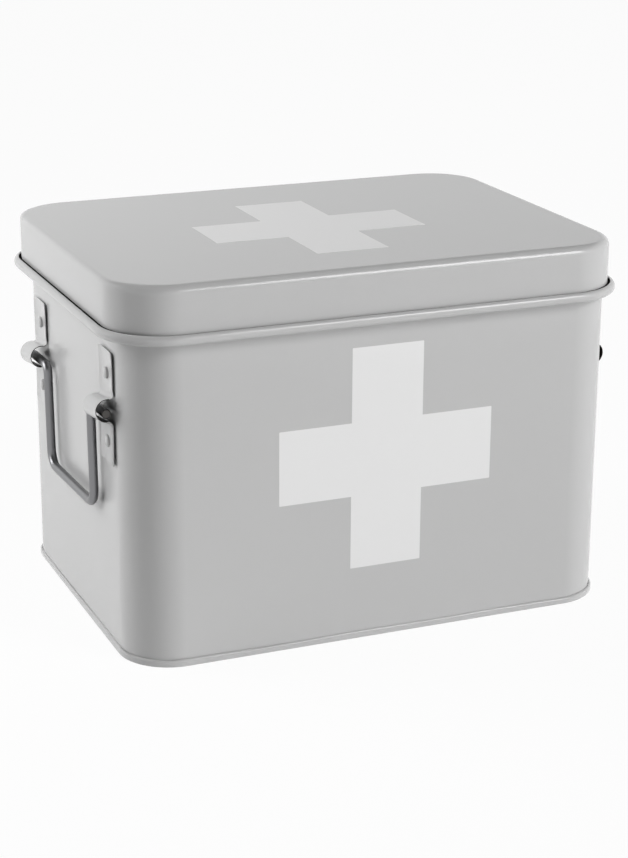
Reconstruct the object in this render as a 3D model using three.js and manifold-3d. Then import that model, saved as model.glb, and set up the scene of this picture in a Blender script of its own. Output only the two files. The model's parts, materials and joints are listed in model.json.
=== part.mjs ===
// Sheet metal first aid box: a wrapped body on a seamed base, a loose slip-over lid with a curled
// edge, a printed cross on the front and on the lid, and a wire bail handle on each end.
// Millimetres. +Z is up, the front faces -Y, and the origin is the middle of the footprint.

import * as THREE from 'three';
import { mergeVertices } from 'three/addons/utils/BufferGeometryUtils.js';
import Module from 'manifold-3d';

const wasm = await Module();
wasm.setup();

// Body
const bodyWidth = 215;
const bodyDepth = 156;
const boxHeight = 159; // floor to the top of the closed lid
const cornerRadius = 21.4; // upright body corners, outside
const sheet = 0.5; // thickness of the body, base and lid
const rimRadius = 2.4; // top edge of the body, curled inwards
const rimFlat = 0.6; // flat top of that curl, where the lid lies
const rimEndAngle = 290; // where the curl stops, short of the wall
const cornerSteps = 8; // facets round each upright corner
const rimCurlSteps = 7;
const quarterSteps = 4; // facets in a quarter turn of a sheet's edge

// Base pan, closed round the foot of the body in a proud seam
const seamProud = 1.1; // how far the seam stands out from the body wall
const seamHeight = 4;
const seamRound = 0.5;
const seamGap = 0.3; // between the inner side of the seam and the body wall
const floorHeight = 3.6; // inside floor above the table

// Lid, measured outwards from the body wall
const skirtOut = 3.2; // outside of the skirt
const lidEdgeRadius = 3.8; // round between the top and the skirt
const curlOut = 6.4; // outside of the curled edge
const curlCentreHeight = 137.9;
const curlHeight = 4.2;
const curlEndAngle = 110; // where the curl stops, short of the skirt
const curlSteps = 9;
const lidPlay = -1.5; // the loose lid lies this far off centre along X

// Printed crosses: five equal squares
const crossSquare = 31.5;
const printThickness = 0.15;
const frontCrossHeight = 78.5; // centre above the floor
const frontCrossShift = 0.95;
const lidCrossShiftX = -2.2;
const lidCrossShiftY = -5.4;

// Handle brackets: a strap with a rolled knuckle, riveted at both ends
const knuckleHeight = 102.8;
const knuckleOut = 3.3; // knuckle centre, outwards from the body wall
const strapThickness = 0.6;
const strapWidth = 16.8;
const strapAbove = 23; // strap ends, measured from the knuckle centre
const strapBelow = 24;
const strapCornerRadius = 1.8;
const knuckleRadius = 4.9;
const upperNeckRadius = 1.5;
const lowerNeckRadius = 3;
const knuckleSteps = 14;
const neckSteps = 4;
const bracketInset = 30.5; // bracket middle to the nearest end of its wall, before the shift

// The handles are riveted on by hand. Seen with its wall facing +X, each sits this far towards +Y
// from the middle of the wall, its bracket on that side sits this much above the other one, and
// its bail lies slid this far towards that side.
const rightHandle = { shift: 4.2, rise: 0, slide: 0 };
const leftHandle = { shift: 1.2, rise: 3.8, slide: 1.8 };

// Rivets
const rivetAbove = 13.2; // from the knuckle centre
const rivetBelow = 15.2;
const rivetShankRadius = 1.5;
const rivetHoleClearance = 0.3;
const rivetHeadRadius = 2.4;
const rivetHeadHeight = 1.4;
const rivetTailRadius = 2.2;
const rivetTailHeight = 0.7;
const rivetSides = 12;

// Bails
const wireRadius = 1.9;
const legGap = 7.75; // middle of a leg to the nearest strap
const legLength = 44; // bail axis to the middle of the grip
const gripBendRadius = 7;
const eyeBendRadius = 4;
const wireEndLength = 21.5; // turned-out end, measured from the leg
const wireRest = 0.1; // between the hanging wire and the bottom of the knuckle
const wireSides = 10;
const bendSteps = 5;

const paint = { color: 0xbfbfbf, roughness: 0.35, metalness: 0 };
const print = { color: 0xe6e6e6, roughness: 0.4, metalness: 0 };
const plated = { color: 0x8a8a8a, roughness: 0.3, metalness: 1 };

// Points of an arc or a quarter-turned ellipse as [right, up] pairs, angles in degrees.
function arc(centreRight, centreUp, radiusRight, radiusUp, fromAngle, toAngle, steps) {
  const points = [];
  for (let i = 0; i <= steps; i += 1) {
    const angle = THREE.MathUtils.degToRad(fromAngle + (toAngle - fromAngle) * i / steps);
    points.push([centreRight + radiusRight * Math.cos(angle), centreUp + radiusUp * Math.sin(angle)]);
  }
  return points;
}

// One loop round the body, at a distance out from its wall and at a height, anticlockwise from above.
function loopRoundBody([out, height]) {
  const radius = cornerRadius + out;
  const centreX = bodyWidth / 2 - cornerRadius;
  const centreY = bodyDepth / 2 - cornerRadius;
  const corners = [[centreX, centreY], [-centreX, centreY], [-centreX, -centreY], [centreX, -centreY]];
  const outline = corners.flatMap(([x, y], i) => (
    arc(x, y, radius, radius, 90 * i, 90 * (i + 1), cornerSteps)
  ));
  return outline.map(([x, y]) => new THREE.Vector3(x, y, height));
}

// Skin through loops with the same number of points. The ends are capped, or joined into a ring.
function loft(loops, isRing) {
  const count = loops[0].length;
  const positions = loops.flat();
  const triangles = [];
  const bands = isRing ? loops.length : loops.length - 1;
  for (let band = 0; band < bands; band += 1) {
    const here = band * count;
    const next = ((band + 1) % loops.length) * count;
    for (let i = 0; i < count; i += 1) {
      const j = (i + 1) % count;
      triangles.push(here + i, here + j, next + j);
      triangles.push(here + i, next + j, next + i);
    }
  }
  if (!isRing) {
    const last = (loops.length - 1) * count;
    const centre = (loop) => loop.reduce((sum, p) => sum.add(p), new THREE.Vector3()).divideScalar(count);
    const firstCentre = positions.push(centre(loops[0])) - 1;
    const lastCentre = positions.push(centre(loops[loops.length - 1])) - 1;
    for (let i = 0; i < count; i += 1) {
      const j = (i + 1) % count;
      triangles.push(firstCentre, j, i);
      triangles.push(lastCentre, last + i, last + j);
    }
  }
  const geometry = new THREE.BufferGeometry().setFromPoints(positions);
  geometry.setIndex(triangles);
  return geometry;
}

function toSolid(geometry) {
  const bare = geometry.clone();
  bare.deleteAttribute('normal');
  bare.deleteAttribute('uv');
  const merged = mergeVertices(bare, 1e-4);
  return new wasm.Manifold(new wasm.Mesh({
    numProp: 3,
    vertProperties: new Float32Array(merged.attributes.position.array),
    triVerts: new Uint32Array(merged.index.array),
  }));
}

function fromSolid(solid) {
  const mesh = solid.getMesh();
  const geometry = new THREE.BufferGeometry();
  geometry.setAttribute('position', new THREE.BufferAttribute(mesh.vertProperties, 3));
  geometry.setIndex(new THREE.BufferAttribute(mesh.triVerts, 1));
  return geometry;
}

function makeMesh(name, geometry, material) {
  const mesh = new THREE.Mesh(geometry, new THREE.MeshStandardMaterial(material));
  mesh.name = name;
  return mesh;
}

// Straight cylinder along X that cuts a rivet hole through one sheet.
function holeCutter(x, y, z) {
  const radius = rivetShankRadius + rivetHoleClearance;
  const cutter = new THREE.CylinderGeometry(radius, radius, knuckleRadius, rivetSides);
  cutter.rotateZ(Math.PI / 2);
  cutter.translate(x, y, z);
  return toSolid(cutter);
}

const bracketSpacing = bodyDepth - 2 * bracketInset;
const legSpacing = bracketSpacing - strapWidth - 2 * legGap;
const rivetHeights = [rivetAbove, -rivetBelow];
const bodyTop = boxHeight - sheet; // the lid lies on it

// Place along the wall, and height above the middle of the handle, of each knuckle.
function knucklePlaces({ shift, rise }) {
  return [[shift + bracketSpacing / 2, rise / 2], [shift - bracketSpacing / 2, -rise / 2]];
}

function bodyShell() {
  const centre = bodyTop - rimRadius;
  const inner = rimRadius - sheet;
  const profile = [
    [0, sheet],
    ...arc(-rimRadius, centre, rimRadius, rimRadius, 0, 90, quarterSteps),
    ...arc(-rimRadius - rimFlat, centre, rimRadius, rimRadius, 90, rimEndAngle, rimCurlSteps),
    ...arc(-rimRadius - rimFlat, centre, inner, inner, rimEndAngle, 90, rimCurlSteps),
    ...arc(-rimRadius, centre, inner, inner, 90, 0, quarterSteps),
    [-sheet, sheet],
  ];
  let shell = toSolid(loft(profile.map(loopRoundBody), true));
  for (const [side, fitting] of [[-1, leftHandle], [1, rightHandle]]) {
    for (const [place, lift] of knucklePlaces(fitting)) {
      for (const height of rivetHeights) {
        const level = knuckleHeight + lift + height;
        shell = shell.subtract(holeCutter(side * bodyWidth / 2, side * place, level));
      }
    }
  }
  return fromSolid(shell);
}

function basePan() {
  const innerFace = -sheet - seamGap; // side of the seam that stands inside the body wall
  const profile = [
    [innerFace - sheet, floorHeight - sheet],
    [innerFace - sheet, 0],
    ...arc(seamProud - seamRound, seamRound, seamRound, seamRound, -90, 0, quarterSteps),
    ...arc(seamProud - sheet / 2, seamHeight - sheet / 2, sheet / 2, sheet / 2, 0, 180, quarterSteps),
    [seamProud - sheet, sheet],
    [innerFace, sheet],
    [innerFace, floorHeight],
  ];
  return loft(profile.map(loopRoundBody), false);
}

function lid() {
  const curlHalfWidth = (curlOut - skirtOut) / 2; // both halves to the middle of the sheet
  const curlHalfHeight = (curlHeight - sheet) / 2;
  const curlCentre = skirtOut - sheet / 2 + curlHalfWidth;
  const curlEnd = 360 + curlEndAngle;
  const edgeCentre = boxHeight - lidEdgeRadius;
  const edgeOut = skirtOut - lidEdgeRadius;
  const innerRadius = lidEdgeRadius - sheet;
  const curlLine = (grow, from, to) => (
    arc(curlCentre, curlCentreHeight, curlHalfWidth + grow, curlHalfHeight + grow, from, to, curlSteps)
  );
  const profile = [
    ...arc(edgeOut, edgeCentre, innerRadius, innerRadius, 90, 0, quarterSteps),
    ...curlLine(sheet / 2, 180, curlEnd),
    ...curlLine(-sheet / 2, curlEnd, 180),
    ...arc(edgeOut, edgeCentre, lidEdgeRadius, lidEdgeRadius, 0, 90, quarterSteps),
  ];
  return loft(profile.map(loopRoundBody), false);
}

// Equal-armed cross, flat in XY, its back face at z = 0.
function cross() {
  const inner = crossSquare / 2;
  const outer = inner + crossSquare;
  const middle = new THREE.Vector2();
  const outline = new THREE.Shape();
  const points = [];
  for (let turn = 0; turn < 4; turn += 1) {
    for (const [x, y] of [[outer, -inner], [outer, inner], [inner, inner]]) {
      points.push(new THREE.Vector2(x, y).rotateAround(middle, turn * Math.PI / 2));
    }
  }
  outline.setFromPoints(points);
  return new THREE.ExtrudeGeometry(outline, { depth: printThickness, bevelEnabled: false });
}

// Section of a bracket: right is out from the wall, up is up, and the knuckle centre is at height 0.
// The straps run up and down the wall, and rounded necks lead into the knuckle.
function bracketSection() {
  const neck = (neckRadius) => {
    const right = strapThickness + neckRadius;
    const up = Math.sqrt((knuckleRadius + neckRadius) ** 2 - (knuckleOut - right) ** 2);
    const angle = THREE.MathUtils.radToDeg(Math.atan2(up, right - knuckleOut));
    return { right, up, angle, radius: neckRadius };
  };
  const upper = neck(upperNeckRadius);
  const lower = neck(lowerNeckRadius);
  const round = (right, up, radius, from, to, steps) => arc(right, up, radius, radius, from, to, steps);
  const face = (inset) => [
    ...round(lower.right, -lower.up, lower.radius + inset, 180, 180 - lower.angle, neckSteps),
    ...round(knuckleOut, 0, knuckleRadius - inset, -lower.angle, upper.angle, knuckleSteps),
    ...round(upper.right, upper.up, upper.radius + inset, 180 + upper.angle, 180, neckSteps),
  ];
  return [
    [strapThickness, -strapBelow],
    ...face(0),
    [strapThickness, strapAbove],
    [0, strapAbove],
    ...face(strapThickness).reverse(),
    [0, -strapBelow],
  ];
}

function roundedRectangle(fromX, toX, fromY, toY, radius) {
  const shape = new THREE.Shape();
  const quarterTurn = Math.PI / 2;
  shape.absarc(toX - radius, fromY + radius, radius, -quarterTurn, 0);
  shape.absarc(toX - radius, toY - radius, radius, 0, quarterTurn);
  shape.absarc(fromX + radius, toY - radius, radius, quarterTurn, 2 * quarterTurn);
  shape.absarc(fromX + radius, fromY + radius, radius, 2 * quarterTurn, 3 * quarterTurn);
  return shape;
}

function bracket() {
  const section = new THREE.Shape(bracketSection().map(([x, y]) => new THREE.Vector2(x, y)));
  const strip = new THREE.ExtrudeGeometry(section, { depth: strapWidth, bevelEnabled: false });
  strip.rotateX(Math.PI / 2);
  strip.translate(0, strapWidth / 2, 0);
  const reach = 2 * (knuckleOut + knuckleRadius);
  const outline = new THREE.ExtrudeGeometry(
    roundedRectangle(-strapWidth / 2, strapWidth / 2, -strapBelow, strapAbove, strapCornerRadius),
    { depth: reach, bevelEnabled: false, curveSegments: 3 },
  );
  outline.translate(0, 0, -reach / 4);
  outline.applyMatrix4(new THREE.Matrix4().makeBasis(
    new THREE.Vector3(0, 1, 0),
    new THREE.Vector3(0, 0, 1),
    new THREE.Vector3(1, 0, 0),
  ));
  let solid = toSolid(strip).intersect(toSolid(outline));
  for (const height of rivetHeights) {
    solid = solid.subtract(holeCutter(0, 0, height));
  }
  return fromSolid(solid);
}

// Domed head outside, flat set tail inside the wall, both clamped on the strap and the wall.
function rivet() {
  const headRise = rivetHeadHeight / 3; // short upright side under the dome
  const profile = [
    [0, -sheet - rivetTailHeight],
    [rivetTailRadius, -sheet - rivetTailHeight],
    [rivetTailRadius, -sheet],
    [rivetShankRadius, -sheet],
    [rivetShankRadius, strapThickness],
    [rivetHeadRadius, strapThickness],
    ...arc(0, strapThickness + headRise, rivetHeadRadius, rivetHeadHeight - headRise, 0, 90, 3),
  ];
  const turned = new THREE.LatheGeometry(profile.map(([x, y]) => new THREE.Vector2(x, y)), rivetSides);
  turned.rotateZ(-Math.PI / 2);
  return turned;
}

// Wire along a line of corners in the YZ plane, with a right-angled bend at each of them.
function bentWire(corners, bendRadii) {
  const stations = [];
  const direction = (from, to) => new THREE.Vector3().subVectors(to, from).normalize();
  const first = direction(corners[0], corners[1]);
  stations.push({ point: corners[0], tangent: first });
  for (let i = 1; i < corners.length - 1; i += 1) {
    const into = direction(corners[i - 1], corners[i]);
    const away = direction(corners[i], corners[i + 1]);
    const radius = bendRadii[i - 1];
    const centre = corners[i].clone().addScaledVector(into, -radius).addScaledVector(away, radius);
    for (let step = 0; step <= bendSteps; step += 1) {
      const angle = (Math.PI / 2) * step / bendSteps;
      const point = centre.clone();
      point.addScaledVector(away, -radius * Math.cos(angle));
      point.addScaledVector(into, radius * Math.sin(angle));
      const tangent = into.clone().multiplyScalar(Math.cos(angle)).addScaledVector(away, Math.sin(angle));
      stations.push({ point, tangent });
    }
  }
  const last = corners.length - 1;
  stations.push({ point: corners[last], tangent: direction(corners[last - 1], corners[last]) });
  const planeNormal = new THREE.Vector3(1, 0, 0);
  const lastAngle = 360 - 360 / wireSides;
  const section = arc(0, 0, wireRadius, wireRadius, 0, lastAngle, wireSides - 1);
  const loops = stations.map(({ point, tangent }) => {
    const across = new THREE.Vector3().crossVectors(tangent, planeNormal);
    return section.map(([a, b]) => (
      point.clone().addScaledVector(planeNormal, a).addScaledVector(across, b)
    ));
  });
  return loft(loops, false);
}

function bail() {
  const near = legSpacing / 2;
  const far = -legSpacing / 2;
  const at = (y, z) => new THREE.Vector3(0, y, z);
  const corners = [
    at(near + wireEndLength, 0),
    at(near, 0),
    at(near, -legLength),
    at(far, -legLength),
    at(far, 0),
    at(far - wireEndLength, 0),
  ];
  return bentWire(corners, [eyeBendRadius, gripBendRadius, gripBendRadius, eyeBendRadius]);
}

// One handle on a wall that faces +X, turned half a turn for the left wall. The wire lies at the
// bottom of both knuckles, so it tilts where one is higher.
function handle(side, turn, endNames, fitting) {
  const assembly = new THREE.Group();
  assembly.rotation.z = turn;
  const wall = new THREE.Group();
  wall.position.set(bodyWidth / 2, 0, knuckleHeight);
  assembly.add(wall);
  const slope = fitting.rise / bracketSpacing;
  const room = knuckleRadius - strapThickness - wireRadius - wireRest;
  const wire = makeMesh(`${side}_bail`, bail(), plated);
  wire.rotation.x = Math.atan(slope);
  wire.position.set(
    knuckleOut,
    fitting.shift + fitting.slide,
    slope * (fitting.slide + strapWidth / 2) - room,
  );
  wall.add(wire);
  knucklePlaces(fitting).forEach(([place, lift], i) => {
    const strap = makeMesh(`${side}_${endNames[i]}_bracket`, bracket(), paint);
    strap.position.set(0, place, lift);
    wall.add(strap);
    rivetHeights.forEach((height, j) => {
      const level = ['upper', 'lower'][j];
      const pin = makeMesh(`${side}_${endNames[i]}_${level}_rivet`, rivet(), paint);
      pin.position.set(0, place, lift + height);
      wall.add(pin);
    });
  });
  return assembly;
}

const box = new THREE.Group();
box.add(makeMesh('body_shell', bodyShell(), paint));
box.add(makeMesh('base_pan', basePan(), paint));

const frontCross = makeMesh('front_cross', cross(), print);
frontCross.rotation.x = Math.PI / 2;
frontCross.position.set(frontCrossShift, -bodyDepth / 2, frontCrossHeight);
box.add(frontCross);

const lidAssembly = new THREE.Group();
lidAssembly.position.x = lidPlay;
lidAssembly.add(makeMesh('lid', lid(), paint));
const lidCross = makeMesh('lid_cross', cross(), print);
lidCross.position.set(lidCrossShiftX, lidCrossShiftY, boxHeight);
lidAssembly.add(lidCross);
box.add(lidAssembly);

box.add(handle('right', 0, ['rear', 'front'], rightHandle));
box.add(handle('left', Math.PI, ['front', 'rear'], leftHandle));

export default box;
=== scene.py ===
import json
import math

import bmesh
import bpy
from mathutils import Matrix, Vector


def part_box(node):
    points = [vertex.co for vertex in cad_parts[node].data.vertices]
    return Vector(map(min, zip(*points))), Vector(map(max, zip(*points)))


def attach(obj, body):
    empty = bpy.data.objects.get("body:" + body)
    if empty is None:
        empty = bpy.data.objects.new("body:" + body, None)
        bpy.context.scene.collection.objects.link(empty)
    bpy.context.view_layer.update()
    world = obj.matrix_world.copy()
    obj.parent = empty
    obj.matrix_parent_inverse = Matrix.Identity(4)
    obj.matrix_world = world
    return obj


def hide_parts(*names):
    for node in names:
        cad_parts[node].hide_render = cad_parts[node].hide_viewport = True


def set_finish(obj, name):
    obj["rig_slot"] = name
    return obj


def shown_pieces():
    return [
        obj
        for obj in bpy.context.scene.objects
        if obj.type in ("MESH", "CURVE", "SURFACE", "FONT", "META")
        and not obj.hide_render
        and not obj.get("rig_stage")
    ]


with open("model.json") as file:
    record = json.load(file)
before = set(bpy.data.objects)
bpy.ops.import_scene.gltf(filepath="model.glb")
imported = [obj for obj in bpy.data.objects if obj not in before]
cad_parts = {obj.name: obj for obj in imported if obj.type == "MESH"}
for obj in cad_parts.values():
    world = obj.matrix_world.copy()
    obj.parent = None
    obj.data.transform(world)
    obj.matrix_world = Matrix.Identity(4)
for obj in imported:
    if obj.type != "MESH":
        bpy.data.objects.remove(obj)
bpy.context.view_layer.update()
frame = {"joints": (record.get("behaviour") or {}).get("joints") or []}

mm = 0.001   # sizes below are in millimetres
near = 0.01  # points closer than this count as one place


def boxMm(node):
    low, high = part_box(node)
    return low / mm, high / mm


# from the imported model: half sizes of the body, and the lid's top and place
bodyLow, bodyHigh = boxMm("body_shell")
halfWidth = bodyHigh.x
halfDepth = bodyHigh.y
lidLow, lidHigh = boxMm("lid")
lidTop = lidHigh.z
lidShift = (lidLow.x + lidHigh.x) / 2  # the loose lid lies a little to the left

shape = {
    "sheet": 0.5,
    "corner": 21.4,       # upright corners of the body, outside
    "cornerSteps": 28,
    "sideSteps": 14,      # along half a straight side
    "facet": 0.1,         # a facet's middle lies no further than this off its curve
    "smoothAngle": 35,    # in degrees, above which an edge stays sharp
}
straightX = halfWidth - shape["corner"]  # half lengths of the straight sides
straightY = halfDepth - shape["corner"]


def limit(value):  # to a share between none and all
    return min(max(value, 0), 1)


def outsideWall(x, y):  # how far a point lies outside the body's wall
    pastX = max(abs(x) - straightX, 0)
    pastY = max(abs(y) - straightY, 0)
    return math.hypot(pastX, pastY) - shape["corner"]


# drawing and editing

def startPoint(name, x, y, z):  # a piece that is one vertex, to draw on from
    bpy.ops.object.select_all(action="DESELECT")
    bpy.ops.mesh.primitive_plane_add(size=mm)
    piece = bpy.context.object
    piece.name = name
    bpy.ops.object.mode_set(mode="EDIT")
    bpy.ops.mesh.select_mode(type="VERT")
    bpy.ops.mesh.select_all(action="SELECT")
    bpy.ops.mesh.merge(type="CENTER")
    bpy.ops.transform.translate(value=(x * mm, y * mm, z * mm))
    return piece


def extrudeBy(x, y, z, steps=1):
    move = (x * mm / steps, y * mm / steps, z * mm / steps)
    for step in range(steps):
        bpy.ops.mesh.extrude_region_move(TRANSFORM_OT_translate={"value": move})


def spinBy(angle, centre, axis, steps):  # the spin tool turns against the right-hand rule
    bpy.ops.mesh.spin(
        steps=steps,
        angle=-math.radians(angle),
        center=[value * mm for value in centre],
        axis=axis,
    )


def bendBy(angle, x, z, steps):  # anticlockwise seen from the front, for a profile at one y
    spinBy(angle, (x, 0, z), (0, -1, 0), steps)


def selectWhere(piece, kind, test):
    bpy.ops.mesh.select_mode(type=kind)
    bpy.ops.mesh.select_all(action="DESELECT")
    mesh = bmesh.from_edit_mesh(piece.data)
    items = {"VERT": mesh.verts, "EDGE": mesh.edges}[kind]
    for item in items:
        if test(item):
            item.select_set(True)
    mesh.select_flush_mode()
    bmesh.update_edit_mesh(piece.data)


def leaveEditing():
    if bpy.context.mode != "OBJECT":
        bpy.ops.object.mode_set(mode="OBJECT")


def modify(piece, kind, **settings):
    leaveEditing()
    modifier = piece.modifiers.new(kind.title(), kind)
    for name, value in settings.items():
        setattr(modifier, name, value)
    bpy.context.view_layer.objects.active = piece
    bpy.ops.object.modifier_apply(modifier=modifier.name)


def thicken(piece, thickness):  # inwards, from the outside that was drawn
    modify(piece, "SOLIDIFY", thickness=thickness * mm, offset=-1, use_even_offset=True)


def smooth(piece):
    leaveEditing()
    bpy.ops.object.select_all(action="DESELECT")
    piece.select_set(True)
    bpy.context.view_layer.objects.active = piece
    bpy.ops.object.shade_smooth_by_angle(angle=math.radians(shape["smoothAngle"]))
    modify(piece, "WEIGHTED_NORMAL", keep_sharp=True)


def faceOutwards():
    bpy.ops.mesh.select_all(action="SELECT")
    bpy.ops.mesh.normals_make_consistent(inside=False)


def mergeDoubles():
    bpy.ops.mesh.select_mode(type="VERT")
    bpy.ops.mesh.select_all(action="SELECT")
    bpy.ops.mesh.remove_doubles(threshold=near / 2 * mm)


def placeMesh(piece, move, turn=0):  # turns the mesh about the upright axis, then moves it
    piece.data.transform(Matrix.Translation(Vector(move) * mm) @ Matrix.Rotation(turn, 4, "Z"))
    piece.data.update()


def copyOf(piece, name):
    twin = piece.copy()
    twin.data = piece.data.copy()
    twin.name = name
    bpy.context.collection.objects.link(twin)
    return twin


def wrapRound(piece):  # sweeps the profile drawn on the +X side round the whole box
    bpy.ops.mesh.select_all(action="SELECT")
    extrudeBy(0, straightY, 0, shape["sideSteps"])
    spinBy(90, (straightX, straightY, 0), (0, 0, 1), shape["cornerSteps"])
    extrudeBy(-straightX, 0, 0, shape["sideSteps"])
    modify(piece, "MIRROR", use_axis=(True, True, False), merge_threshold=near * mm)
    bpy.ops.object.mode_set(mode="EDIT")
    mergeDoubles()


def fillLoop(piece, z, inset):  # closes the flat plate inside the loop at a height
    def onLoop(edge):
        level = all(abs(vert.co.z / mm - z) < near for vert in edge.verts)
        return level and edge.is_boundary

    selectWhere(piece, "EDGE", onLoop)
    bpy.ops.mesh.edge_face_add()
    bpy.ops.mesh.inset(thickness=inset * mm)


def settle(piece, body, slot, node):  # what it rides on, its finish, and what it stands for
    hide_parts(node)
    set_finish(piece, slot)
    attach(piece, body)


# body, rolled inwards at the top

body = {
    "rimRadius": 2.4,
    "rimFlat": 0.6,
    "rimTurn": 200,     # in degrees, on past the flat
    "wallSteps": 10,
    "shoulderSteps": 8,
    "rimSteps": 14,
}


def makeBody():
    rimCentre = bodyHigh.z - body["rimRadius"]
    flatStart = halfWidth - body["rimRadius"]
    piece = startPoint("body", halfWidth, 0, bodyLow.z)
    extrudeBy(0, 0, rimCentre - bodyLow.z, body["wallSteps"])
    bendBy(90, flatStart, rimCentre, body["shoulderSteps"])
    extrudeBy(-body["rimFlat"], 0, 0)
    bendBy(body["rimTurn"], flatStart - body["rimFlat"], rimCentre, body["rimSteps"])
    wrapRound(piece)
    faceOutwards()
    thicken(piece, shape["sheet"])
    smooth(piece)
    settle(piece, "box", "box_paint", "body_shell")


# base pan with its seam

base = {
    "proud": 1.1,
    "seamTop": 2.95,
    "crease": 0.16,      # gap between the closed seam and the wall
    "footRound": 0.5,
    "innerLeg": -1.3,    # inner side of the standing rim, from the body's wall
    "floor": 3.1,        # underside of the floor
    "floorStrip": 4,
    "floorInset": 2,
    "seamSteps": 8,
    "outerLegSteps": 2,
    "footSteps": 5,
}

# the seam was rolled shut by a machine, and is a little uneven
seam = {
    "start": 0.2,        # it begins this far inside the wall's outside
    "still": 1,          # up to this height it keeps its shape
    "waviness": 0.14,    # of its top edge
    "waves": [(11, 1, 0.7), (23, 0.7, 2.1)],  # each one's length over two pi, height and start
    "slant": 0.6,        # how much y counts along the waves
    "shut": 0.2,         # where it is pressed tight it lies this much closer to the wall
    "shutFrom": 25,      # on the long sides that is from here in from the straight side's end,
    "shutOver": 15,      # over this length,
    "shutWave": 0.4,     # with this share of the waves
    "sideShut": 0.3,     # on the short sides it is in places
    "sideShutWave": 0.8,
    "sag": 0.2,          # along the front's right half the top edge lies lower
    "sagAt": 48,
    "sagReach": 34,
    "leftPress": 0.6,    # towards the rear of the left wall the whole rim is pressed closer
}


def closeSeam(piece):  # makes its top edge wavy, and presses it to the wall
    for vert in piece.data.vertices:
        x, y, z = vert.co / mm
        onLongSide = abs(y) > halfDepth - seam["start"]
        onShortSide = abs(x) > halfWidth - seam["start"]
        if z < seam["still"] or not (onLongSide or onShortSide):
            continue
        along = x + seam["slant"] * y
        wave = sum(high * math.sin(along / long + start) for long, high, start in seam["waves"])
        rise = seam["waviness"] * wave
        if onLongSide and y < 0:
            rise -= seam["sag"] * math.exp(-((x - seam["sagAt"]) / seam["sagReach"]) ** 2)
        vert.co.z += rise * (z - seam["still"]) / (base["seamTop"] - seam["still"]) * mm
        if onLongSide and abs(x) < straightX:
            middle = (straightX - seam["shutFrom"] - abs(x)) / seam["shutOver"]
            tight = limit(middle + seam["shutWave"] * wave)
            vert.co.y -= math.copysign(seam["shut"] * tight * mm, y)
        elif not onLongSide and abs(y) < straightY:
            tight = limit(seam["sideShut"] + seam["sideShutWave"] * wave)
            vert.co.x -= math.copysign(seam["shut"] * tight * mm, x)


def pressLeft(piece):  # the further out a point stands, and the further back, the more
    for vert in piece.data.vertices:
        x, y, z = vert.co / mm
        out = limit((-x - halfWidth) / (base["proud"] - base["crease"]))
        rear = (1 + y / halfDepth) / 2
        vert.co.x += seam["leftPress"] * out * rear * mm


def makeBase():
    shoulder = base["proud"] - base["crease"]
    foot = base["footRound"]
    creaseX = halfWidth + base["crease"]
    footX = halfWidth + base["proud"] - foot
    legX = halfWidth + base["innerLeg"]
    piece = startPoint("base", creaseX, 0, base["seamTop"])
    bendBy(-90, creaseX, base["seamTop"] - shoulder, base["seamSteps"])
    extrudeBy(0, 0, foot + shoulder - base["seamTop"], base["outerLegSteps"])
    bendBy(-90, footX, foot, base["footSteps"])
    extrudeBy(legX + foot - footX, 0, 0)
    bendBy(-90, legX + foot, foot, base["footSteps"])
    extrudeBy(0, 0, base["floor"] - 2 * foot)
    bendBy(90, legX - foot, base["floor"] - foot, base["footSteps"])
    extrudeBy(-base["floorStrip"], 0, 0)
    wrapRound(piece)
    fillLoop(piece, base["floor"], base["floorInset"])
    faceOutwards()
    thicken(piece, shape["sheet"])
    closeSeam(piece)
    pressLeft(piece)
    smooth(piece)
    settle(piece, "box", "box_paint", "base_pan")


# slip-over lid with an open outward curl

lid = {
    "skirt": 3.2,          # outside of the skirt, from the body's wall
    "skirtSteps": 3,
    "edgeRadius": 3.8,
    "edgeSteps": 16,
    "leftEdge": 4.2,       # how square the left edge was pressed, where 2 is round
    "leftEdgeEnd": 50,     # in degrees round the corner, where that has faded
    "topStrip": 2,
    "topInset": 10,
    "curlRadius": 1.35,    # inside of the curl, before it is drawn taller
    "curlTall": 1.185,
    "curlCentre": 137.9,
    "curlTurn": 276,
    "curlSteps": 22,
    "grooveTop": 139.7,    # up to here the groove above the curl gets the dark finish, painted shade for the groove's shadow
}


def squareLeftEdge(piece):  # its section goes from a quarter circle towards a square
    radius = lid["edgeRadius"]
    for vert in piece.data.vertices:
        x, y, z = vert.co / mm
        across = (outsideWall(x, y) - lid["skirt"] + radius) / radius
        up = (z - lidTop + radius) / radius
        if x > 0 or across < near or up < near:
            continue
        turn = math.atan2(max(abs(y) - straightY, 0), max(-x - straightX, 0))
        share = limit(1 - turn / math.radians(lid["leftEdgeEnd"]))
        power = 2 + (lid["leftEdge"] - 2) * share
        angle = math.atan2(up, across)
        grow = (math.cos(angle) ** power + math.sin(angle) ** power) ** (-1 / power) - 1
        outwards = radius * grow * math.cos(angle)
        vert.co.x -= outwards * math.cos(turn) * mm
        vert.co.y += math.copysign(outwards * math.sin(turn), y) * mm
        vert.co.z += radius * grow * math.sin(angle) * mm


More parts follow.
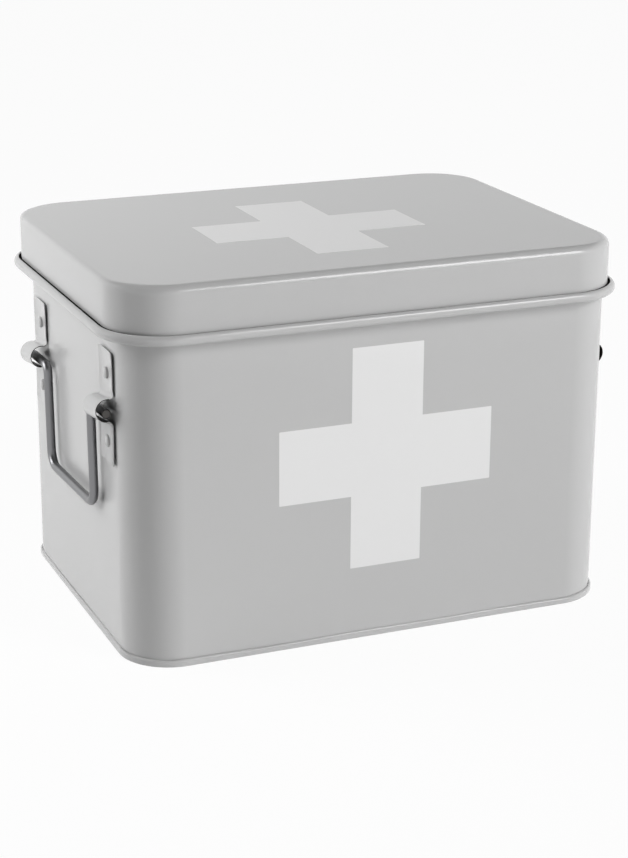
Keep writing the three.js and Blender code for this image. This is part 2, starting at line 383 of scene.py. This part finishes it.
def makeLid():
    skirtX = halfWidth + lid["skirt"]
    curlX = skirtX + lid["curlRadius"]
    curlZ = lid["curlCentre"]
    freeEnd = math.radians(lid["curlTurn"] - 180)
    endX = curlX + lid["curlRadius"] * math.cos(freeEnd)
    endZ = curlZ + lid["curlRadius"] * math.sin(freeEnd)
    piece = startPoint("pressed_lid", endX, 0, endZ)
    bendBy(-lid["curlTurn"], curlX, curlZ, lid["curlSteps"])
    bpy.ops.mesh.select_all(action="SELECT")
    bpy.ops.transform.resize(
        value=(1, 1, lid["curlTall"]),
        center_override=(curlX * mm, 0, curlZ * mm),
    )
    skirtEnd = Vector((skirtX, 0, curlZ))
    selectWhere(piece, "VERT", lambda vert: (vert.co / mm - skirtEnd).length < near)
    edgeCentre = lidTop - lid["edgeRadius"]
    extrudeBy(0, 0, lid["grooveTop"] - curlZ)
    extrudeBy(0, 0, edgeCentre - lid["grooveTop"], lid["skirtSteps"])
    bendBy(90, skirtX - lid["edgeRadius"], edgeCentre, lid["edgeSteps"])
    extrudeBy(-lid["topStrip"], 0, 0)
    wrapRound(piece)
    fillLoop(piece, lidTop, lid["topInset"])
    faceOutwards()
    leaveEditing()
    squareLeftEdge(piece)
    thicken(piece, shape["sheet"])
    for face in piece.data.polygons:  # painted shade: the groove and the curl's inside get the dark steel finish, where shade falls
        x, y, z = face.center / mm
        out = outsideWall(x, y) - lid["skirt"]
        across = math.hypot(out - lid["curlRadius"], (z - curlZ) / lid["curlTall"])
        inGroove = abs(out) < shape["facet"] and curlZ < z < lid["grooveTop"]
        inCurl = across < lid["curlRadius"] + shape["facet"]
        face.material_index = inGroove or inCurl
    placeMesh(piece, (lidShift, 0, 0))
    smooth(piece)
    settle(piece, "lid", "box_paint", "lid")


# printed crosses

cross = {
    "ink": 0.05,
    "cornerRound": 0.35,
    "cornerSteps": 3,
}


def makeCross(name, node, rideOn):
    low, high = boxMm(node)
    square = (high.x - low.x) / 3
    bpy.ops.object.select_all(action="DESELECT")
    bpy.ops.mesh.primitive_plane_add(size=square * mm)
    piece = bpy.context.object
    piece.name = name
    bpy.ops.object.mode_set(mode="EDIT")
    for x, y in [(1, 0), (0, 1), (-1, 0), (0, -1)]:
        def isSide(edge):
            middle = (edge.verts[0].co + edge.verts[1].co) / 2 / mm
            ahead = middle.x * x + middle.y * y
            aside = middle.x * y + middle.y * x
            return ahead > square / 2 - near and abs(aside) < near

        selectWhere(piece, "EDGE", isSide)
        extrudeBy(x * square, y * square, 0)
    selectWhere(piece, "VERT", lambda vert: max(abs(vert.co.x), abs(vert.co.y)) / mm > square)
    bpy.ops.mesh.bevel(
        offset=cross["cornerRound"] * mm,
        segments=cross["cornerSteps"],
        affect="VERTICES",
    )
    faceOutwards()
    modify(piece, "SOLIDIFY", thickness=cross["ink"] * mm, offset=1)
    middle = (low + high) / 2
    if rideOn == "lid":
        place = Matrix.Translation(Vector((middle.x, middle.y, low.z)) * mm)
    else:
        place = Matrix.Translation(Vector((middle.x, high.y, middle.z)) * mm)
        place = place @ Matrix.Rotation(math.pi / 2, 4, "X")
    piece.data.transform(place)
    piece.data.update()
    settle(piece, rideOn, "cross_print", node)


# handle brackets, drawn for a wall facing +X whose outside is at x = 0

bracket = {
    "strap": 0.4,          # sheet thickness
    "outside": 0.6,        # outside of the strap, from the wall
    "knuckle": 4.9,
    "above": 23,           # strap ends, from the middle of the knuckle
    "below": 24,
    "upperNeck": 1.5,
    "lowerNeck": 3,
    "tabRound": 1.8,
    "edgeLift": 0.55,      # the tabs' long edges spring this far off the wall
    "endLift": 0.25,       # and their ends this much more
    "liftFrom": 5,         # above and below the middle of the knuckle
    "liftOver": 3,
    "upperRivet": 13.2,
    "lowerRivet": 15.2,
    "skew": {"left": 2.2, "right": 0},  # how far a knuckle's far end was rolled off level
    "skewReach": 10,       # above and below the middle of the knuckle
    "skewFade": 4,
    "burr": 0.1,           # rounded cut edges
    "burrAngle": 1.2,      # in radians, above which an edge is a cut one
    "burrSteps": 2,
    "widthSteps": 12,
    "tabSteps": 8,
    "tabRoundSteps": 5,
    "knuckleSteps": 36,
    "neckSteps": 8,
}


def neckOf(radius, out):  # centre of a rounded neck, and the angle where it meets the knuckle
    right = bracket["outside"] + radius
    up = math.sqrt((bracket["knuckle"] + radius) ** 2 - (out - right) ** 2)
    return right, up, math.degrees(math.atan2(up, right - out))


def drawBracket(width, out):
    below = bracket["below"]
    above = bracket["above"]
    lowerRight, lowerUp, lowerAngle = neckOf(bracket["lowerNeck"], out)
    upperRight, upperUp, upperAngle = neckOf(bracket["upperNeck"], out)
    piece = startPoint("bracket", bracket["outside"], -width / 2, -below)
    extrudeBy(0, 0, below - lowerUp, bracket["tabSteps"])
    bendBy(-lowerAngle, lowerRight, -lowerUp, bracket["neckSteps"])
    bendBy(lowerAngle + upperAngle, out, 0, bracket["knuckleSteps"])
    bendBy(-upperAngle, upperRight, upperUp, bracket["neckSteps"])
    extrudeBy(0, 0, above - upperUp, bracket["tabSteps"])
    bpy.ops.mesh.select_all(action="SELECT")
    extrudeBy(0, width, 0, bracket["widthSteps"])

    def isTabCorner(vert):
        z = vert.co.z / mm
        atEnd = z < near - below or z > above - near
        return atEnd and abs(vert.co.y) / mm > width / 2 - near

    selectWhere(piece, "VERT", isTabCorner)
    bpy.ops.mesh.bevel(
        offset=bracket["tabRound"] * mm,
        segments=bracket["tabRoundSteps"],
        affect="VERTICES",
    )
    faceOutwards()
    thicken(piece, bracket["strap"])
    return piece


def springTabs(piece, width):  # lifts the tabs' edges and ends off the wall, less at the rivets
    for vert in piece.data.vertices:
        edge = abs(vert.co.y) / mm / (width / 2)
        z = vert.co.z / mm
        if z < 0:
            rivetAt, endAt = bracket["lowerRivet"], bracket["below"]
        else:
            rivetAt, endAt = bracket["upperRivet"], bracket["above"]
        fade = limit((abs(z) - bracket["liftFrom"]) / bracket["liftOver"])
        end = max(0, (abs(z) - rivetAt) / (endAt - rivetAt))
        lift = bracket["edgeLift"] * edge ** 3 + bracket["endLift"] * end ** 2
        vert.co.x += lift * fade * mm


def skewKnuckle(piece, width, drop):  # lowers the knuckle's end at -Y, and leaves its other end
    for vert in piece.data.vertices:
        fade = limit((bracket["skewReach"] - abs(vert.co.z) / mm) / bracket["skewFade"])
        along = 0.5 - vert.co.y / mm / width
        vert.co.z -= drop * along * fade ** 2 * (3 - 2 * fade) * mm


# rivets, drawn like the brackets

rivet = {
    "shank": 1.5,
    "head": 2.4,
    "headRise": 1.35,
    "headSide": 0.45,
    "tail": 2.2,
    "tailRise": 0.7,
    "domeSteps": 7,
    "sides": 32,
}


def drawRivet():
    tailX = -shape["sheet"] - rivet["tailRise"]
    piece = startPoint("rivet", tailX, 0, 0)
    extrudeBy(0, 0, rivet["tail"])
    extrudeBy(rivet["tailRise"], 0, 0)
    extrudeBy(0, 0, rivet["shank"] - rivet["tail"])
    extrudeBy(shape["sheet"] + bracket["outside"], 0, 0)
    extrudeBy(0, 0, rivet["head"] - rivet["shank"])
    extrudeBy(rivet["headSide"], 0, 0)
    dome = rivet["headRise"] - rivet["headSide"]
    for step in range(rivet["domeSteps"]):
        here = math.pi / 2 * step / rivet["domeSteps"]
        there = math.pi / 2 * (step + 1) / rivet["domeSteps"]
        rise = dome * (math.sin(there) - math.sin(here))
        shrink = rivet["head"] * (math.cos(there) - math.cos(here))
        extrudeBy(rise, 0, shrink)
    bpy.ops.mesh.select_all(action="SELECT")
    spinBy(360, (0, 0, 0), (1, 0, 0), rivet["sides"])
    mergeDoubles()
    faceOutwards()
    smooth(piece)
    return piece


# wire bails

wire = {
    "radius": 1.9,
    "span": 62.7,          # from leg to leg
    "legLength": 44,       # from the turning axis to the middle of the grip
    "turnedEnd": 21.5,     # turned-out end, from the leg
    "gripBend": 7,
    "eyeBend": 4,
    "endChamfer": 0.3,
    "sides": 28,
    "bendSteps": 14,
    "endSteps": 4,
    "legSteps": 6,
    "gripSteps": 8,
}


def drawBail():  # the wire's ends lie on the Y axis, and the legs hang down
    leg = wire["span"] / 2
    end = leg + wire["turnedEnd"]
    eye = wire["eyeBend"]
    grip = wire["gripBend"]
    length = wire["legLength"]
    bpy.ops.object.select_all(action="DESELECT")
    bpy.ops.mesh.primitive_circle_add(
        vertices=wire["sides"],
        radius=wire["radius"] * mm,
        rotation=(math.pi / 2, 0, 0),
        location=(0, -end * mm, 0),
    )
    piece = bpy.context.object
    piece.name = "bail"
    bpy.ops.object.transform_apply(location=True, rotation=True, scale=True)
    bpy.ops.object.mode_set(mode="EDIT")
    bpy.ops.mesh.select_all(action="SELECT")
    extrudeBy(0, wire["turnedEnd"] - eye, 0, wire["endSteps"])
    spinBy(90, (0, -leg - eye, -eye), (-1, 0, 0), wire["bendSteps"])
    extrudeBy(0, 0, eye + grip - length, wire["legSteps"])
    spinBy(90, (0, grip - leg, grip - length), (1, 0, 0), wire["bendSteps"])
    extrudeBy(0, wire["span"] - 2 * grip, 0, wire["gripSteps"])
    spinBy(90, (0, leg - grip, grip - length), (1, 0, 0), wire["bendSteps"])
    extrudeBy(0, 0, length - grip - eye, wire["legSteps"])
    spinBy(90, (0, leg + eye, -eye), (-1, 0, 0), wire["bendSteps"])
    extrudeBy(0, wire["turnedEnd"] - eye, 0, wire["endSteps"])
    chamfer = wire["endChamfer"] * mm
    for place in [-end, end]:
        def isRim(edge):
            return all(abs(vert.co.y / mm - place) < near for vert in edge.verts)

        selectWhere(piece, "EDGE", isRim)
        bpy.ops.mesh.edge_face_add()
        bpy.ops.mesh.inset(thickness=chamfer, depth=chamfer)
    faceOutwards()
    smooth(piece)
    for face in piece.data.polygons:  # the sheared ends have a finish of their own
        face.material_index = abs(face.center.y) > end * mm
    return piece


def makeHandles():
    low, high = boxMm("right_front_bracket")
    width = high.y - low.y
    out = high.x - halfWidth - bracket["knuckle"]
    strap = drawBracket(width, out)
    springTabs(strap, width)
    modify(
        strap, "BEVEL",
        width=bracket["burr"] * mm,
        segments=bracket["burrSteps"],
        limit_method="ANGLE",
        angle_limit=bracket["burrAngle"],
    )
    smooth(strap)
    for face in strap.data.polygons:  # painted shade: the inside of the knuckle gets the dark steel finish, where shade falls
        x, y, z = face.center / mm
        face.material_index = math.hypot(x - out, z) < bracket["knuckle"] - bracket["strap"] / 2
    pin = drawRivet()
    hanging = drawBail()
    joints = {joint["name"]: joint for joint in frame["joints"]}
    for side, wall, turn in [("left", -halfWidth, math.pi), ("right", halfWidth, 0)]:
        for end in ["front", "rear"]:
            node = f"{side}_{end}_bracket"
            low, high = boxMm(node)
            middleY = (low.y + high.y) / 2
            piece = copyOf(strap, f"{side}_{end}_strap")
            skewKnuckle(piece, width, bracket["skew"][side])
            placeMesh(piece, (wall, middleY, high.z - bracket["above"]), turn)
            settle(piece, "box", "box_paint", node)
            for level in ["upper", "lower"]:
                node = f"{side}_{end}_{level}_rivet"
                low, high = boxMm(node)
                piece = copyOf(pin, f"{side}_{end}_{level}_pin")
                placeMesh(piece, (wall, middleY, (low.z + high.z) / 2), turn)
                settle(piece, "box", "box_paint", node)
        joint = joints[f"{side}_bail_swing"]
        axis = Vector(joint["axis"])
        if axis.y < 0:
            axis.negate()
        piece = copyOf(hanging, f"{side}_wire_bail")
        piece.data.transform(Vector((0, 1, 0)).rotation_difference(axis).to_matrix().to_4x4())
        placeMesh(piece, Vector(joint["pos_m"]) / mm)
        settle(piece, f"{side}_bail", "plated_wire", f"{side}_bail")
    for pattern in [strap, pin, hanging]:
        bpy.data.objects.remove(pattern)


# materials, each with the reliefs of its surface: the size of the grain in millimetres, its depth,
# and the noise's detail

# stove enamel, sprayed on sheet steel and baked: satin gloss, slightly wavy, with a faint orange
# peel
enamel = {
    "colour": "c0c0c0",
    "roughness": 0.2,
    "metallic": 0,
    "reliefs": [(55, 0.05, 1), (1.6, 0.004, 2)],
}

# screen printed enamel ink: lighter than the paint, with a little less gloss
ink = {
    "colour": "e8e8e8",
    "roughness": 0.24,
    "metallic": 0,
    "reliefs": [(0.8, 0.004, 3)],
}

# drawn steel wire, bright zinc plated: a metal that mirrors the room softly
zinc = {
    "colour": "848486",
    "roughness": 0.36,
    "metallic": 1,
    "reliefs": [(3, 0.01, 3)],
}

# sheared steel, on the wire's ends: dull
shearedSteel = {
    "colour": "5c5a58",
    "roughness": 0.5,
    "metallic": 1,
    "reliefs": [(0.5, 0.03, 2)],
}

# painted shade: a dark, dull steel, put inside the knuckles and in the lid's groove and curl,
# where shade falls
paintedShadeLook = {
    "colour": "32302e",
    "roughness": 0.6,
    "metallic": 1,
    "reliefs": [(0.8, 0.02, 2)],
}


def linear(colour):  # sRGB hex to linear
    channels = [int(colour[i:i + 2], 16) / 255 for i in (0, 2, 4)]
    return [c / 12.92 if c <= 0.04045 else ((c + 0.055) / 1.055) ** 2.4 for c in channels] + [1]


def addNode(tree, kind, values=None, inputs=None, links=None):
    node = tree.nodes.new(kind)
    for name, value in (values or {}).items():
        setattr(node, name, value)
    for name, value in (inputs or {}).items():
        node.inputs[name].default_value = value
    for name, socket in (links or {}).items():
        tree.links.new(socket, node.inputs[name])
    return node


def makeMaterial(name, look):
    material = bpy.data.materials.new(name)
    material.use_nodes = True
    tree = material.node_tree
    shader = tree.nodes["Principled BSDF"]
    place = addNode(tree, "ShaderNodeTexCoord").outputs["Object"]
    below = {}  # each relief lies on the one before
    for size, depth, detail in look["reliefs"]:
        grain = addNode(
            tree, "ShaderNodeTexNoise",
            inputs={"Scale": 1 / (size * mm), "Detail": detail},
            links={"Vector": place},
        )
        bump = addNode(
            tree, "ShaderNodeBump",
            inputs={"Strength": 1, "Distance": depth * mm},
            links={"Height": grain.outputs["Fac"], **below},
        )
        below = {"Normal": bump.outputs["Normal"]}
    tree.links.new(below["Normal"], shader.inputs["Normal"])
    shader.inputs["Base Color"].default_value = linear(look["colour"])
    shader.inputs["Roughness"].default_value = look["roughness"]
    shader.inputs["Metallic"].default_value = look["metallic"]
    return material


# camera, at the photograph's angle

view = {
    "place": (-344.5, -825.25, 363.13),
    "azimuth": -22.74,
    "elevation": 18.38,
    "roll": 0.32,
    "lens": 89.58,
    "sensor": 36,
    "nearest": 10,
}


def makeCamera():
    data = bpy.data.cameras.new("camera")
    data.lens = view["lens"]
    data.sensor_width = view["sensor"]
    data.clip_start = view["nearest"] * mm
    camera = bpy.data.objects.new("camera", data)
    bpy.context.collection.objects.link(camera)
    turn = Matrix.Rotation(math.radians(view["azimuth"]), 4, "Z")
    tilt = Matrix.Rotation(math.radians(90 - view["elevation"]), 4, "X")
    roll = Matrix.Rotation(math.radians(view["roll"]), 4, "Z")
    camera.matrix_world = Matrix.Translation(Vector(view["place"]) * mm) @ turn @ tilt @ roll
    bpy.context.scene.camera = camera


# floor, background and light

studio = {
    "floorColour": "f0f0f0",
    "floorSize": 12000,
    "ceilingColour": "3c3c3c",  # the gloss shows it as the dark tops of round edges
    "ceilingSize": 7400,
    "ceilingHeight": 3000,
    "paperRoughness": 0.8,
    "backdrop": 1.0,        # white that only the camera and reflections see
    "backdropShare": 0.95,  # how much of the floor's look is that white
}

# soft round lamps aimed at the box: azimuth from +X towards +Y, elevation, distance and width in
# millimetres, the light that each gives at the box, whether gloss shows it, and the only finish
# that it lights, if there is one
lamps = [
    {"name": "key", "azimuth": -56, "elevation": 33.5,
     "distance": 3000, "width": 1200, "light": 1.28, "gloss": True},
    {"name": "side", "azimuth": -46, "elevation": 6,
     "distance": 3000, "width": 1600, "light": 1.82, "gloss": False},
    {"name": "front", "azimuth": -90, "elevation": 8,
     "distance": 3000, "width": 1600, "light": 0.2, "gloss": False},
    {"name": "rearLeft", "azimuth": 142, "elevation": 5,
     "distance": 3000, "width": 1600, "light": 1.3, "gloss": False},
    {"name": "leftNear", "azimuth": 154, "elevation": 32,
     "distance": 650, "width": 450, "light": 1.7, "gloss": False},
    {"name": "top", "azimuth": 75, "elevation": 55,
     "distance": 3000, "width": 4000, "light": 0.45, "gloss": False},
    {"name": "wireLeft", "azimuth": 155, "elevation": 27,
     "distance": 800, "width": 500, "light": 1.6, "gloss": True, "only": "plated_wire"},
]


def seenDirectly(tree):  # 1 for what the camera, a reflection or a glass looks at
    ray = addNode(tree, "ShaderNodeLightPath").outputs
    either = addNode(
        tree, "ShaderNodeMath", {"operation": "MAXIMUM"},
        links={0: ray["Is Camera Ray"], 1: ray["Is Glossy Ray"]},
    )
    return addNode(
        tree, "ShaderNodeMath", {"operation": "MAXIMUM"},
        links={0: either.outputs[0], 1: ray["Is Transmission Ray"]},
    ).outputs[0]


def makeSheet(name, size, height, colour):  # a flat matt sheet of the studio
    bpy.ops.object.select_all(action="DESELECT")
    bpy.ops.mesh.primitive_plane_add(size=size * mm, location=(0, 0, height * mm))
    sheet = bpy.context.object
    sheet.name = name
    material = bpy.data.materials.new(f"{name}_paper")
    material.use_nodes = True
    paper = material.node_tree.nodes["Principled BSDF"]
    paper.inputs["Base Color"].default_value = linear(colour)
    paper.inputs["Roughness"].default_value = studio["paperRoughness"]
    paper.inputs["Specular IOR Level"].default_value = 0
    sheet.data.materials.append(material)
    sheet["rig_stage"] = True
    return material.node_tree, paper


def makeSheets():
    makeSheet("ceiling", studio["ceilingSize"], studio["ceilingHeight"], studio["ceilingColour"])
    tree, paper = makeSheet("floor", studio["floorSize"], 0, studio["floorColour"])
    white = addNode(tree, "ShaderNodeEmission", inputs={"Strength": studio["backdrop"]})
    share = addNode(
        tree, "ShaderNodeMath", {"operation": "MULTIPLY"},
        inputs={1: studio["backdropShare"]},
        links={0: seenDirectly(tree)},
    )
    mix = addNode(
        tree, "ShaderNodeMixShader",
        links={0: share.outputs[0], 1: paper.outputs[0], 2: white.outputs[0]},
    )
    tree.links.new(mix.outputs[0], tree.nodes["Material Output"].inputs["Surface"])


def makeWorld():
    world = bpy.data.worlds.new("studio")
    bpy.context.scene.world = world
    world.use_nodes = True
    tree = world.node_tree
    dark = tree.nodes["Background"]
    dark.inputs["Strength"].default_value = 0
    white = addNode(
        tree, "ShaderNodeBackground",
        inputs={"Color": (1, 1, 1, 1), "Strength": studio["backdrop"]},
    )
    mix = addNode(
        tree, "ShaderNodeMixShader",
        links={0: seenDirectly(tree), 1: dark.outputs[0], 2: white.outputs[0]},
    )
    tree.links.new(mix.outputs[0], tree.nodes["World Output"].inputs["Surface"])


def makeLamps():
    for setting in lamps:
        data = bpy.data.lights.new(setting["name"], "AREA")
        data.shape = "DISK"
        data.size = setting["width"] * mm
        data.energy = setting["light"] * math.pi * (setting["distance"] * mm) ** 2
        lamp = bpy.data.objects.new(setting["name"], data)
        bpy.context.collection.objects.link(lamp)
        turn = Matrix.Rotation(math.radians(setting["azimuth"] + 90), 4, "Z")
        tilt = Matrix.Rotation(math.radians(90 - setting["elevation"]), 4, "X")
        back = Matrix.Translation((0, 0, setting["distance"] * mm))
        middle = Matrix.Translation((0, 0, lidTop / 2 * mm))
        lamp.matrix_world = middle @ turn @ tilt @ back
        lamp.visible_camera = False
        lamp.visible_glossy = setting["gloss"]
        if "only" in setting:
            lit = bpy.data.collections.new(f"lit_by_{setting['name']}")
            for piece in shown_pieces():
                if piece["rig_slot"] == setting["only"]:
                    lit.objects.link(piece)
            lamp.light_linking.receiver_collection = lit


makeBody()
makeBase()
makeLid()
print("sheet metal is made")
makeCross("front_print", "front_cross", "box")
makeCross("lid_print", "lid_cross", "lid")
makeHandles()
print("crosses and handles are made")

paint = makeMaterial("stove_enamel", enamel)
# painted shade: the dark steel finish for the hollows in shade
paintedShadeFinish = makeMaterial("painted_shade_steel", paintedShadeLook)
printed = makeMaterial("screen_print_ink", ink)
plated = makeMaterial("zinc_plated_wire", zinc)
sheared = makeMaterial("sheared_steel", shearedSteel)
finishes = {
    # the second box finish is painted shade, for the hollows in shade
    "box_paint": [paint, paintedShadeFinish],
    "cross_print": [printed],
    "plated_wire": [plated, sheared],
}
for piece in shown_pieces():
    used = 1 + max(face.material_index for face in piece.data.polygons)
    for finish in finishes[piece["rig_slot"]][:used]:
        piece.data.materials.append(finish)
print("finishes are on")

makeCamera()
makeSheets()
makeWorld()
makeLamps()
print("camera and studio are set")

bpy.context.scene.view_settings.view_transform = "Standard"
